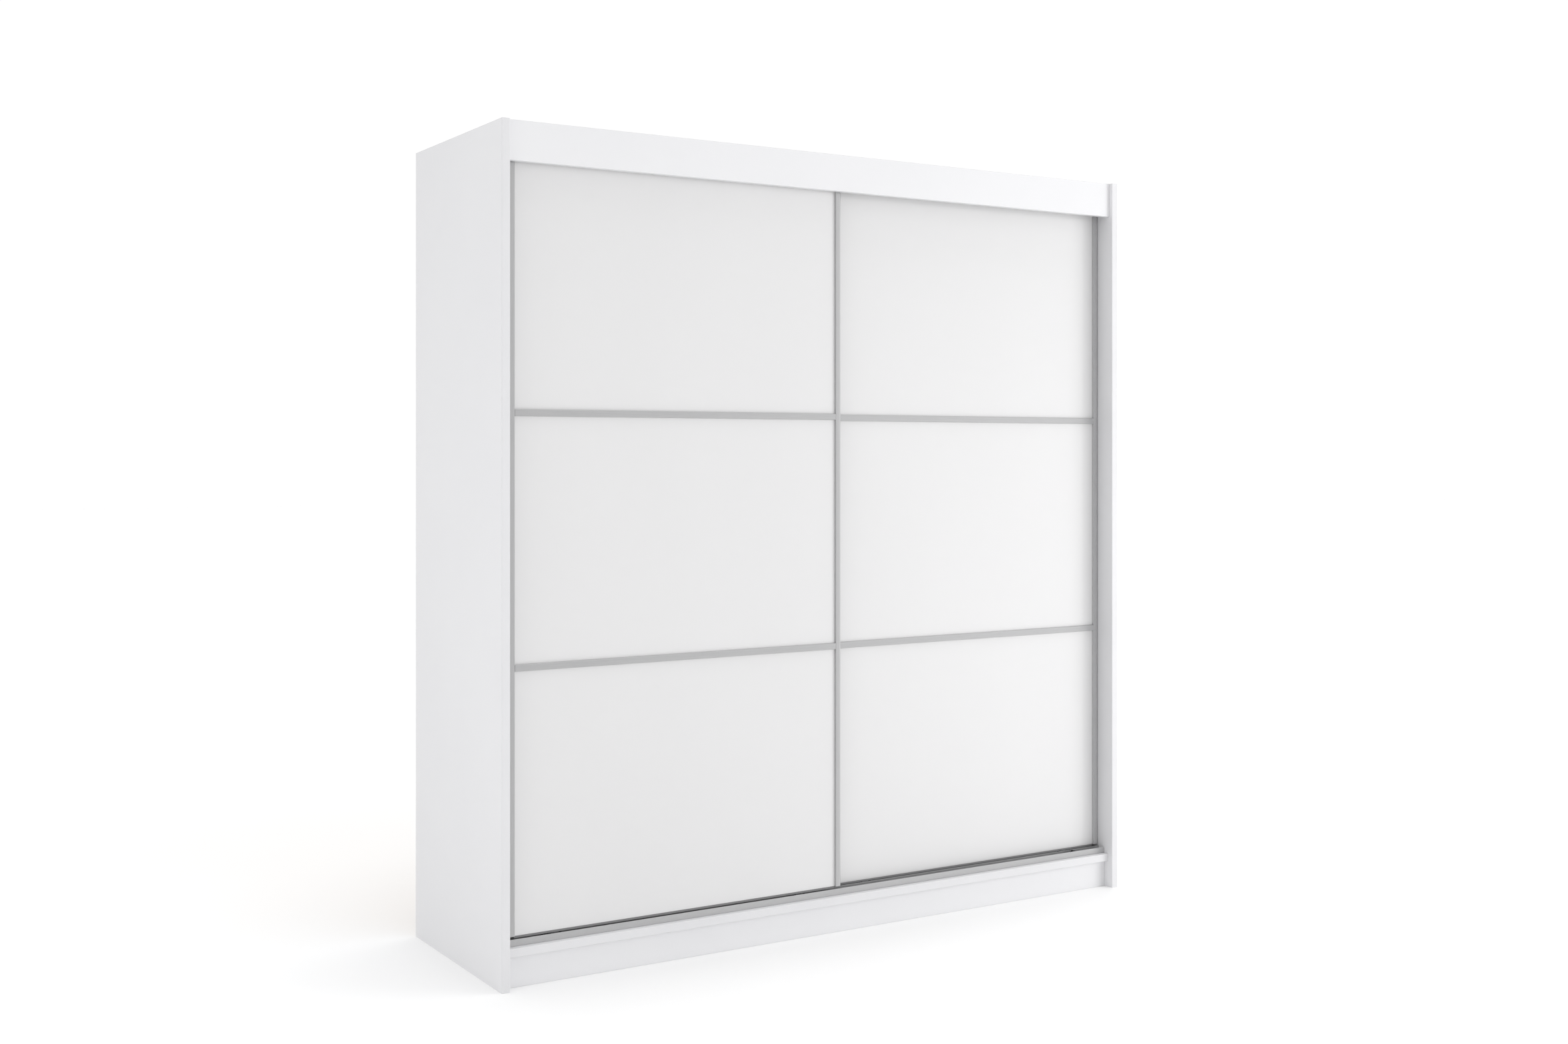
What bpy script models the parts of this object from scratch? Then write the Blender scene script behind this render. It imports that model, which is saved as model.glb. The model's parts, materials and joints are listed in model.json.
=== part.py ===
"""Sliding door wardrobe: a laminated carcass with two glass-faced doors on a double track.

Metres, +Z up. The origin is at the middle of the footprint on the floor, the front faces -Y,
and both doors stand nearly closed, the left one in front of the right one.
"""

import math

import bmesh
import bpy
from mathutils import Matrix, Vector

# Overall size
WIDTH = 2.000
DEPTH = 0.600
HEIGHT = 2.135

# Boards
SIDE_T = 0.022
DECK_T = 0.022
BOARD_T = 0.018
BACK_T = 0.0032
FIT = 0.0003
BOARD_EDGE = 0.0008

# Front setbacks from the side panels' front edges, and the heights they go with
FASCIA_SETBACK = 0.0125
FASCIA_H = 0.100
DECK_SETBACK = 0.018
PLINTH_SETBACK = 0.0325
PLINTH_H = 0.078
PARTITION_SETBACK = 0.100
SHELF_SETBACK = 0.105

# Rebate in the side panels' rear edges that takes the back sheets
REBATE_W = 0.011
REBATE_D = 0.0040
BACK_OVERHANG = 0.014

# Doors: both alike, one in front of the other, the right one set a little lower on its rollers
DOOR_W = 0.985
DOOR_T = 0.023
DOOR_PITCH = 0.025
DOOR_BOTTOM = 0.1245
DOOR_TOP = 2.070
LEFT_DOOR_SETBACK = 0.036
LEFT_DOOR_X = -0.9685
RIGHT_DOOR_X = -0.0085
RIGHT_DOOR_DROP = 0.0018

# Door frame profiles and infill, measured back from the door's front face
STILE_W = 0.018
WALL = 0.0016
STILE_ROUND = 0.0012
HANDLE_ROUND = 0.0065
GLASS_RECESS = 0.006
GLASS_T = 0.004
PANEL_T = 0.010
PANEL_INSET = 0.0020
DIVIDER_H = 0.017
DIVIDER_WALL = 0.0014
DIVIDER_WEB = 0.0024
DIVIDER_HEIGHTS = {"lower": 0.786, "upper": 1.417}
SEAL_T = 0.0034
SEAL_LIFT = 0.0010

# Tracks
TRACK_SETBACK = 0.035
TRACK_TOP = 0.1177
TRACK_W = 0.0526
TRACK_BASE = 0.0018
RIDGE_W = 0.003
RIDGE_TOP = 0.1075
TOP_TRACK_H = 0.038
TRACK_ROUND = 0.0006
LIP_END_R = 0.006

# Roller hardware
WHEEL_R = 0.020
FLANGE_R = 0.0225
WHEEL_W = 0.008
WHEEL_INSET = 0.130
AXLE_R = 0.003
AXLE_PLAY = 0.00008
NOTCH_HALF_W = 0.027
NOTCH_H = 0.031
BRACKET_W = 0.056
BRACKET_T = 0.0025
BRACKET_BOTTOM = 0.119
BRACKET_TOP = 0.196
SLOT_R = 0.0026
SLOT_L = 0.010
GUIDE_W = 0.044
GUIDE_BLOCK_H = 0.022
GUIDE_BLOCK_T = 0.0214
GUIDE_PLATE_H = 0.045
GUIDE_PLATE_T = 0.0024
GUIDE_INSET = 0.090
STOP_L = 0.020
STOP_H = 0.0142
STOP_REACH = 0.8666

# Interior
SHELF_COUNT = 5
RAIL_DROP = 0.060
RAIL_H = 0.030
RAIL_T = 0.015
RAIL_WALL = 0.0012
SOCKET_WALL = 0.003
SOCKET_L = 0.014
SOCKET_FLOOR = 0.003

WHEEL_STEPS = 32
PIN_STEPS = 20
OVAL_STEPS = 16
SLOT_STEPS = 8
SMALL_ARC_STEPS = 3
LARGE_ARC_STEPS = 6
LARGE_ARC_R = 0.003

# Planes worked out from the sizes above
FRONT = -DEPTH / 2
REAR = DEPTH / 2
INNER = WIDTH / 2 - SIDE_T
DECK_TOP = PLINTH_H + DECK_T
CEILING = HEIGHT - DECK_T
CARCASS_REAR = REAR - REBATE_D
LEFT_DOOR_Y = FRONT + LEFT_DOOR_SETBACK
RIGHT_DOOR_Y = LEFT_DOOR_Y + DOOR_PITCH
BETWEEN_DOORS = (LEFT_DOOR_Y + DOOR_T + RIGHT_DOOR_Y) / 2
PANEL_FRONT = GLASS_RECESS + GLASS_T + FIT
PANEL_REAR = PANEL_FRONT + PANEL_T
RIDGE_OFFSET = (PANEL_FRONT + PANEL_REAR) / 2
AXLE_Z = RIDGE_TOP + FIT + WHEEL_R
SHELF_PITCH = (CEILING - DECK_TOP) / (SHELF_COUNT + 1)
HAT_SHELF_Z = DECK_TOP + SHELF_COUNT * SHELF_PITCH


# ---------------------------------------------------------------- materials

def finish(name, color, roughness, metallic=0.0):
    """A Principled material in one colour."""
    material = bpy.data.materials.new(name)
    material.use_nodes = True
    shader = material.node_tree.nodes["Principled BSDF"]
    shader.inputs["Base Color"].default_value = (*color, 1.0)
    shader.inputs["Roughness"].default_value = roughness
    shader.inputs["Metallic"].default_value = metallic
    material.diffuse_color = (*color, 1.0)
    return material


def make_finishes():
    """The wardrobe's finishes by name."""
    return {
        "laminate": finish("white_laminate", (0.84, 0.84, 0.85), 0.45),
        "glass": finish("white_lacquered_glass", (0.86, 0.86, 0.86), 0.04),
        "panel": finish("door_board", (0.80, 0.80, 0.81), 0.55),
        "aluminium": finish("satin_aluminium", (0.60, 0.60, 0.61), 0.32, 1.0),
        "steel": finish("zinc_steel", (0.62, 0.63, 0.65), 0.38, 1.0),
        "chrome": finish("chromed_steel", (0.75, 0.75, 0.76), 0.10, 1.0),
        "plastic": finish("grey_plastic", (0.22, 0.22, 0.23), 0.50),
        "rubber": finish("black_rubber", (0.03, 0.03, 0.03), 0.70),
        "hdf": finish("white_hdf", (0.78, 0.78, 0.78), 0.60),
    }


# ---------------------------------------------------------------- mesh tools

def add_object(name, mesh_builder, material, smooth=False):
    """Turns a bmesh into an object with its faces pointing out."""
    bmesh.ops.recalc_face_normals(mesh_builder, faces=mesh_builder.faces[:])
    mesh = bpy.data.meshes.new(name)
    mesh_builder.to_mesh(mesh)
    mesh_builder.free()
    mesh.materials.append(material)
    if smooth:
        mesh.shade_smooth()
        mesh.set_sharp_from_angle(angle=math.radians(35))
    thing = bpy.data.objects.new(name, mesh)
    bpy.context.scene.collection.objects.link(thing)
    return thing


def place(thing, origin, parent=None):
    """Moves an object's origin to a point without moving its shape, then parents it."""
    thing.data.transform(Matrix.Translation(-Vector(origin)))
    offset = parent.location if parent else Vector((0, 0, 0))
    thing.parent = parent
    thing.location = Vector(origin) - offset
    return thing


def pivot(name, location):
    """An empty that carries a moving group."""
    empty = bpy.data.objects.new(name, None)
    empty.location = location
    bpy.context.scene.collection.objects.link(empty)
    return empty


def soften(thing, width, segments=2):
    """Rounds an object's sharp edges."""
    bevel = thing.modifiers.new("edges", "BEVEL")
    bevel.width = width
    bevel.segments = segments
    bevel.limit_method = "ANGLE"
    bevel.angle_limit = math.radians(40)


def box(name, low, high, material, edge=0.0):
    """A rectangular piece between two corners."""
    builder = bmesh.new()
    bmesh.ops.create_cube(builder, size=1.0)
    for vertex in builder.verts:
        for axis in range(3):
            share = vertex.co[axis] + 0.5
            vertex.co[axis] = low[axis] + share * (high[axis] - low[axis])
    thing = add_object(name, builder, material)
    if edge:
        soften(thing, edge)
    return thing


def rounded(corners):
    """An outline from (u, v, radius) corners, each round one as a short arc."""
    points = []
    count = len(corners)
    for index, (u, v, radius) in enumerate(corners):
        here = Vector((u, v))
        if not radius:
            points.append(here)
            continue
        before = Vector(corners[index - 1][:2]) - here
        after = Vector(corners[(index + 1) % count][:2]) - here
        before.normalize()
        after.normalize()
        half = before.angle(after) / 2
        centre = here + (before + after).normalized() * (radius / math.sin(half))
        start = here + before * (radius / math.tan(half)) - centre
        end = here + after * (radius / math.tan(half)) - centre
        sweep = start.angle_signed(end)
        steps = LARGE_ARC_STEPS if radius > LARGE_ARC_R else SMALL_ARC_STEPS
        for step in range(steps + 1):
            turn = Matrix.Rotation(-sweep * step / steps, 2)
            points.append(centre + turn @ start)
    return points


def extrude(name, outline, along, start, end, material):
    """An outline swept along X, Y or Z.

    The outline's own axes are the two remaining ones, in X, Y, Z order.
    """
    across = [axis for axis in range(3) if axis != along]
    builder = bmesh.new()
    ring = []
    for point in outline:
        corner = [0.0, 0.0, 0.0]
        corner[across[0]] = point[0]
        corner[across[1]] = point[1]
        corner[along] = start
        ring.append(builder.verts.new(corner))
    cap = builder.faces.new(ring)
    swept = bmesh.ops.extrude_face_region(builder, geom=[cap])
    shift = Vector((0, 0, 0))
    shift[along] = end - start
    moved = [item for item in swept["geom"] if isinstance(item, bmesh.types.BMVert)]
    bmesh.ops.translate(builder, verts=moved, vec=shift)
    return add_object(name, builder, material)


def loft(name, rings, material, closed=False):
    """Joins rings of equal length; the two ends are capped unless the rings close on themselves."""
    builder = bmesh.new()
    loops = [[builder.verts.new(point) for point in ring] for ring in rings]
    pairs = list(zip(loops, loops[1:]))
    if closed:
        pairs.append((loops[-1], loops[0]))
    for one, other in pairs:
        for index in range(len(one)):
            follow = (index + 1) % len(one)
            builder.faces.new((one[index], one[follow], other[follow], other[index]))
    if not closed:
        builder.faces.new(loops[0])
        builder.faces.new(reversed(loops[-1]))
    return add_object(name, builder, material, smooth=True)


def turned(name, profile, centre, steps, material, closed=False):
    """A profile of (radius, distance along Y) turned about an axis parallel to Y."""
    rings = []
    for radius, along in profile:
        ring = []
        for step in range(steps):
            angle = 2 * math.pi * step / steps
            ring.append((
                centre[0] + radius * math.cos(angle),
                along,
                centre[2] + radius * math.sin(angle),
            ))
        rings.append(ring)
    return loft(name, rings, material, closed)


def oval_ring(x, centre_y, centre_z, width, height):
    """An upright oval with straight sides at one place along X."""
    radius = width / 2
    straight = height / 2 - radius
    ring = []
    for lift, first in ((straight, 0.0), (-straight, math.pi)):
        for step in range(OVAL_STEPS + 1):
            angle = first + math.pi * step / OVAL_STEPS
            ring.append((
                x,
                centre_y + radius * math.cos(angle),
                centre_z + lift + radius * math.sin(angle),
            ))
    return ring


def cut(target, cutter):
    """Takes one shape out of another."""
    cutter.hide_render = True
    cutter.display_type = "WIRE"
    boolean = target.modifiers.new("cut", "BOOLEAN")
    boolean.operation = "DIFFERENCE"
    boolean.object = cutter


# ---------------------------------------------------------------- carcass

def side_panel(name, side, finishes):
    """A full-height side with a rebate for the back sheet; side is -1 left, +1 right."""
    outer = side * WIDTH / 2
    inner = side * INNER
    rebate = inner + side * REBATE_W
    outline = [
        (outer, FRONT),
        (inner, FRONT),
        (inner, CARCASS_REAR),
        (rebate, CARCASS_REAR),
        (rebate, REAR),
        (outer, REAR),
    ]
    panel = extrude(name, outline, 2, 0.0, HEIGHT, finishes["laminate"])
    soften(panel, BOARD_EDGE)


def decks(finishes):
    """Top and bottom panels between the sides."""
    reach = INNER - FIT
    fascia_rear = FRONT + FASCIA_SETBACK + BOARD_T
    box("bottom_panel",
        (-reach, FRONT + DECK_SETBACK, PLINTH_H), (reach, CARCASS_REAR, DECK_TOP),
        finishes["laminate"], BOARD_EDGE)
    box("top_panel",
        (-reach, fascia_rear + FIT, CEILING), (reach, CARCASS_REAR, HEIGHT),
        finishes["laminate"], BOARD_EDGE)
    box("fascia",
        (-reach, FRONT + FASCIA_SETBACK, HEIGHT - FASCIA_H), (reach, fascia_rear, HEIGHT),
        finishes["laminate"], BOARD_EDGE)


def plinth(finishes):
    """Front and rear plinth boards with a support between them under the partition."""
    reach = INNER - FIT
    top = PLINTH_H - FIT
    inner_face = DEPTH / 2 - PLINTH_SETBACK - BOARD_T
    for name, outer_face in (("plinth_front", -inner_face - BOARD_T), ("plinth_rear", inner_face)):
        box(name,
            (-reach, outer_face, 0.0), (reach, outer_face + BOARD_T, top),
            finishes["laminate"], BOARD_EDGE)
    box("plinth_support",
        (-BOARD_T / 2, -inner_face + FIT, 0.0), (BOARD_T / 2, inner_face - FIT, top),
        finishes["laminate"], BOARD_EDGE)


def back_sheets(finishes):
    """Two thin sheets that meet on the partition's rear edge."""
    edge = INNER + REBATE_W - FIT
    low = PLINTH_H + BACK_OVERHANG / 2
    high = HEIGHT - BACK_OVERHANG / 2
    for name, left, right in (("back_sheet_left", -edge, -FIT), ("back_sheet_right", FIT, edge)):
        box(name,
            (left, CARCASS_REAR + FIT, low), (right, CARCASS_REAR + FIT + BACK_T, high),
            finishes["hdf"])


def interior(finishes):
    """Partition, shelves, hat shelf and hanging rail."""
    half = BOARD_T / 2
    box("centre_partition",
        (-half, FRONT + PARTITION_SETBACK, DECK_TOP + FIT), (half, CARCASS_REAR, CEILING - FIT),
        finishes["laminate"], BOARD_EDGE)
    shelf_front = FRONT + SHELF_SETBACK
    shelf_rear = CARCASS_REAR - FIT
    for number in range(1, SHELF_COUNT + 1):
        z = DECK_TOP + number * SHELF_PITCH
        box(f"shelf_{number}",
            (-INNER + FIT, shelf_front, z - half), (-half - FIT, shelf_rear, z + half),
            finishes["laminate"], BOARD_EDGE)
    box("hat_shelf",
        (half + FIT, shelf_front, HAT_SHELF_Z - half),
        (INNER - FIT, shelf_rear, HAT_SHELF_Z + half),
        finishes["laminate"], BOARD_EDGE)
    hanging_rail(half, finishes)


def hanging_rail(half, finishes):
    """An oval tube across the right-hand compartment, held in a socket at each end."""
    y = (FRONT + SHELF_SETBACK + CARCASS_REAR) / 2
    z = HAT_SHELF_Z - half - RAIL_DROP
    ends = (half + 2 * FIT + SOCKET_FLOOR, INNER - 2 * FIT - SOCKET_FLOOR)
    outer = [oval_ring(x, y, z, RAIL_T, RAIL_H) for x in ends]
    bore = (RAIL_T - 2 * RAIL_WALL, RAIL_H - 2 * RAIL_WALL)
    inner = [oval_ring(x, y, z, *bore) for x in reversed(ends)]
    loft("hanging_rail", outer + inner, finishes["chrome"], closed=True)
    pocket = (RAIL_T + 2 * FIT, RAIL_H + 2 * FIT)
    shell = (pocket[0] + 2 * SOCKET_WALL, pocket[1] + 2 * SOCKET_WALL)
    for name, wall, inward in (("rail_socket_left", half + FIT, 1), ("rail_socket_right", INNER - FIT, -1)):
        mouth = wall + inward * SOCKET_L
        floor = wall + inward * SOCKET_FLOOR
        loft(name, [
            oval_ring(wall, y, z, *shell),
            oval_ring(mouth, y, z, *shell),
            oval_ring(mouth, y, z, *pocket),
            oval_ring(floor, y, z, *pocket),
        ], finishes["chrome"])


# ---------------------------------------------------------------- tracks

def bottom_track(finishes):
    """Two channels side by side, each with a ridge that the grooved wheels run on."""
    front = FRONT + TRACK_SETBACK
    rear = front + TRACK_W
    base = DECK_TOP + FIT
    floor = base + TRACK_BASE
    fin = (BETWEEN_DOORS - WALL / 2, BETWEEN_DOORS + WALL / 2)
    outline = [
        (front, base, TRACK_ROUND), (front, TRACK_TOP, TRACK_ROUND),
        (front + WALL, TRACK_TOP, TRACK_ROUND), (front + WALL, floor, 0),
    ]
    for door_y, wall in ((LEFT_DOOR_Y, fin), (RIGHT_DOOR_Y, (rear - WALL, rear))):
        ridge = door_y + RIDGE_OFFSET
        outline += [
            (ridge - RIDGE_W / 2, floor, 0), (ridge - RIDGE_W / 2, RIDGE_TOP, TRACK_ROUND),
            (ridge + RIDGE_W / 2, RIDGE_TOP, TRACK_ROUND), (ridge + RIDGE_W / 2, floor, 0),
            (wall[0], floor, 0), (wall[0], TRACK_TOP, TRACK_ROUND),
            (wall[1], TRACK_TOP, TRACK_ROUND),
        ]
        if wall is fin:
            outline.append((wall[1], floor, 0))
    outline.append((rear, base, TRACK_ROUND))
    end = INNER - FIT
    track = extrude("bottom_track", rounded(outline), 0, -end, end, finishes["aluminium"])
    for name, side in (("left", -1), ("right", 1)):
        cut(track, lip_end_cutter(f"bottom_track_{name}_corner", side * end, side, front, finishes))


def lip_end_cutter(name, end_x, side, front, finishes):
    """What a quarter round takes off the front wall's upper corner at one end of the bottom track."""
    centre = (end_x - side * LIP_END_R, TRACK_TOP - LIP_END_R)
    beyond = (end_x + side * LIP_END_R, TRACK_TOP + LIP_END_R)
    outline = [(beyond[0], centre[1]), beyond, (centre[0], beyond[1])]
    for step in range(LARGE_ARC_STEPS + 1):
        angle = math.pi / 2 * (1 - step / LARGE_ARC_STEPS)
        outline.append((
            centre[0] + side * LIP_END_R * math.cos(angle),
            centre[1] + LIP_END_R * math.sin(angle),
        ))
    reach = (front - WALL, front + 2 * WALL)
    return extrude(name, outline, 1, *reach, finishes["aluminium"])


def track_stops(finishes):
    """Rubber blocks that sit over the ridges and end each door's travel at its wheel."""
    base = DECK_TOP + FIT + TRACK_BASE + FIT
    top = base + STOP_H
    play = RIDGE_W / 2 + 2 * FIT
    walls = (FRONT + TRACK_SETBACK, BETWEEN_DOORS - WALL / 2, FRONT + TRACK_SETBACK + TRACK_W - WALL)
    channels = (("front", LEFT_DOOR_Y, walls[0], walls[1]), ("rear", RIGHT_DOOR_Y, walls[1], walls[2]))
    for channel, door_y, wall_before, wall_after in channels:
        ridge = door_y + RIDGE_OFFSET
        low, high = wall_before + WALL + FIT, wall_after - FIT
        outline = rounded([
            (low, base, 0), (low, top, 0.001), (high, top, 0.001), (high, base, 0),
            (ridge + play, base, 0), (ridge + play, RIDGE_TOP + FIT, 0),
            (ridge - play, RIDGE_TOP + FIT, 0), (ridge - play, base, 0),
        ])
        for end, side in (("left", -1), ("right", 1)):
            faces = sorted((side * STOP_REACH, side * (STOP_REACH + STOP_L)))
            extrude(f"track_stop_{channel}_{end}", outline, 0, *faces, finishes["rubber"])


def top_track(finishes):
    """Three fins hanging from a plate; the door guides run between them."""
    high = CEILING - FIT
    low = high - TOP_TRACK_H
    under = high - TRACK_BASE
    outline = [(BETWEEN_DOORS - DOOR_PITCH - WALL / 2, high, 0)]
    for number, side in enumerate((-1, 0, 1)):
        centre = BETWEEN_DOORS + side * DOOR_PITCH
        edges = (centre - WALL / 2, centre + WALL / 2)
        if number:
            outline.append((edges[0], under, 0))
        outline += [(edges[0], low, TRACK_ROUND), (edges[1], low, TRACK_ROUND)]
        if number < 2:
            outline.append((edges[1], under, 0))
    outline.append((BETWEEN_DOORS + DOOR_PITCH + WALL / 2, high, 0))
    extrude("top_track", rounded(outline), 0, -INNER + FIT, INNER - FIT, finishes["aluminium"])


# ---------------------------------------------------------------- doors

def stile(name, outer_x, inward, front, drop, finishes, door):
    """An upright C-shaped handle profile that grips the glass and board, well rounded at its outer edge.

    Inward is +1 or -1 along X.
    """
    lip_front = front + GLASS_RECESS - FIT
    lip_rear = front + PANEL_REAR + FIT
    rear = front + DOOR_T
    inner_x = outer_x + inward * STILE_W
    lip_x = inner_x - inward * WALL
    web_x = outer_x + inward * WALL
    outline = [
        (outer_x, front, HANDLE_ROUND), (inner_x, front, STILE_ROUND),
        (inner_x, lip_front, 0), (lip_x, lip_front, 0),
        (lip_x, front + WALL, 0), (web_x, front + WALL, HANDLE_ROUND - WALL),
        (web_x, rear - WALL, 0), (lip_x, rear - WALL, 0),
        (lip_x, lip_rear, 0), (inner_x, lip_rear, 0),
        (inner_x, rear, STILE_ROUND), (outer_x, rear, STILE_ROUND),
    ]
    ends = (DOOR_BOTTOM - drop, DOOR_TOP - drop)
    profile = extrude(name, rounded(outline), 2, *ends, finishes["aluminium"])
    place(profile, door.location, door)


def divider(name, left, right, z, front, finishes, door):
    """A horizontal strip that covers the joint between two glass panes."""
    half = DIVIDER_H / 2
    web = DIVIDER_WEB / 2
    face = front + DIVIDER_WALL
    glass = front + GLASS_RECESS - FIT
    board = front + GLASS_RECESS + GLASS_T
    outline = [
        (front, z - half, STILE_ROUND / 2), (front, z + half, STILE_ROUND / 2),
        (glass, z + half, 0), (glass, z + half - DIVIDER_WALL, 0),
        (face, z + half - DIVIDER_WALL, 0), (face, z + web, 0),
        (board, z + web, 0), (board, z - web, 0),
        (face, z - web, 0), (face, z - half + DIVIDER_WALL, 0),
        (glass, z - half + DIVIDER_WALL, 0), (glass, z - half, 0),
    ]
    strip = extrude(name, rounded(outline), 0, left, right, finishes["aluminium"])
    place(strip, door.location, door)


def door_board(name, left, right, wheels, front, drop, finishes, door):
    """The board behind the glass, notched at the bottom for the wheels."""
    bottom = DOOR_BOTTOM - drop
    top = DOOR_TOP - drop
    outline = [(left, bottom)]
    for wheel_x in wheels:
        outline += [
            (wheel_x - NOTCH_HALF_W, bottom),
            (wheel_x - NOTCH_HALF_W, bottom + NOTCH_H),
            (wheel_x + NOTCH_HALF_W, bottom + NOTCH_H),
            (wheel_x + NOTCH_HALF_W, bottom),
        ]
    outline += [(right, bottom), (right, top), (left, top)]
    board = extrude(name, outline, 1, front + PANEL_FRONT, front + PANEL_REAR, finishes["panel"])
    place(board, door.location, door)


def roller_bracket(name, x, front, finishes, door):
    """A steel plate on the board's rear face with a hole for the axle and two upright slots."""
    plate_front = front + PANEL_REAR + FIT
    plate_rear = plate_front + BRACKET_T
    plate = box(name,
                (x - BRACKET_W / 2, plate_front, BRACKET_BOTTOM),
                (x + BRACKET_W / 2, plate_rear, BRACKET_TOP),
                finishes["steel"])
    reach = (plate_front - BRACKET_T, plate_rear + BRACKET_T)
    bore = [(AXLE_R, reach[0]), (AXLE_R, reach[1])]
    hole = turned(f"{name}_axle_hole", bore, (x, 0, AXLE_Z), PIN_STEPS, finishes["steel"])
    cutters = [hole]
    for side in (-1, 1):
        slot = slot_cutter(f"{name}_slot_{side + 1}", x + side * BRACKET_W / 4, reach, finishes)
        cutters.append(slot)
    for cutter in cutters:
        place(cutter, door.location, door)
        cut(plate, cutter)
    place(plate, door.location, door)


def slot_cutter(name, x, reach, finishes):
    """An upright round-ended slot that runs through a roller bracket."""
    middle = (BRACKET_TOP + AXLE_Z + FLANGE_R) / 2
    outline = []
    for lift, first in ((SLOT_L / 2, 0.0), (-SLOT_L / 2, math.pi)):
        for step in range(SLOT_STEPS + 1):
            angle = first + math.pi * step / SLOT_STEPS
            outline.append((
                x + SLOT_R * math.cos(angle),
                middle + lift + SLOT_R * math.sin(angle),
            ))
    return extrude(name, outline, 1, reach[0], reach[1], finishes["steel"])


def axle(name, x, front, finishes, door):
    """A stepped pin riveted into its bracket, with a head that keeps the wheel on."""
    wheel_front = front + RIDGE_OFFSET - WHEEL_W / 2
    wheel_rear = wheel_front + WHEEL_W
    plate_front = front + PANEL_REAR + FIT
    plate_rear = plate_front + BRACKET_T
    head_r = AXLE_R * 1.6
    stem_r = AXLE_R - FIT
    profile = [
        (head_r, wheel_front - 0.0006), (head_r, wheel_front + 0.0002),
        (AXLE_R, wheel_front + 0.0002), (AXLE_R, wheel_rear + FIT),
        (head_r, wheel_rear + FIT), (head_r, plate_front - FIT),
        (stem_r, plate_front - FIT), (stem_r, plate_rear + FIT),
        (head_r, plate_rear + FIT), (head_r, plate_rear + 2 * FIT),
    ]
    pin = turned(name, profile, (x, 0, AXLE_Z), PIN_STEPS, finishes["steel"])
    place(pin, door.location, door)


def wheel(name, x, front, finishes, door):
    """A grooved roller; its origin is on its axle."""
    middle = front + RIDGE_OFFSET
    bore = AXLE_R + AXLE_PLAY
    half = WHEEL_W / 2
    hub = AXLE_R * 2.2
    web_r = WHEEL_R * 0.82
    dish = 0.0012
    groove = RIDGE_W / 2 + 0.0006
    profile = [
        (bore, middle - half + 2 * FIT), (hub, middle - half + 2 * FIT),
        (hub, middle - half + dish), (web_r, middle - half + dish),
        (web_r, middle - half), (FLANGE_R - 0.0004, middle - half),
        (FLANGE_R, middle - half + 0.0006), (FLANGE_R, middle - groove - 0.0008),
        (WHEEL_R, middle - groove), (WHEEL_R, middle + groove),
        (FLANGE_R, middle + groove + 0.0008), (FLANGE_R, middle + half - 0.0006),
        (FLANGE_R - 0.0004, middle + half), (web_r, middle + half),
        (web_r, middle + half - dish), (hub, middle + half - dish),
        (hub, middle + half), (bore, middle + half),
    ]
    roller = turned(name, profile, (x, 0, AXLE_Z), WHEEL_STEPS, finishes["plastic"], closed=True)
    place(roller, (x, middle, AXLE_Z), door)


def top_guide(name, x, front, drop, finishes, door):
    """A plastic block that runs in the top track, on a foot fixed to the board's rear face."""
    middle = front + DOOR_T / 2
    block = (middle - GUIDE_BLOCK_T / 2, middle + GUIDE_BLOCK_T / 2)
    foot_front = front + PANEL_REAR + FIT
    board_top = DOOR_TOP - drop
    shoulder = board_top + FIT
    crown = shoulder + GUIDE_BLOCK_H
    outline = [
        (block[0], shoulder, 0.001), (foot_front, shoulder, 0),
        (foot_front, board_top - GUIDE_PLATE_H, 0),
        (foot_front + GUIDE_PLATE_T, board_top - GUIDE_PLATE_H, 0.0008),
        (foot_front + GUIDE_PLATE_T, shoulder, 0), (block[1], shoulder, 0),
        (block[1], crown, 0.003), (block[0], crown, 0.003),
    ]
    guide = extrude(name, rounded(outline), 0, x - GUIDE_W / 2, x + GUIDE_W / 2, finishes["plastic"])
    place(guide, door.location, door)


def bottom_seal(name, left, right, front, drop, finishes, door):
    """A rubber strip under the bottom pane that closes the gap down to the track."""
    pane_front = front + GLASS_RECESS + FIT
    seal = box(name,
               (left, pane_front, TRACK_TOP + SEAL_LIFT),
               (right, pane_front + SEAL_T, DOOR_BOTTOM - drop - FIT),
               finishes["rubber"], FIT)
    place(seal, door.location, door)


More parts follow.
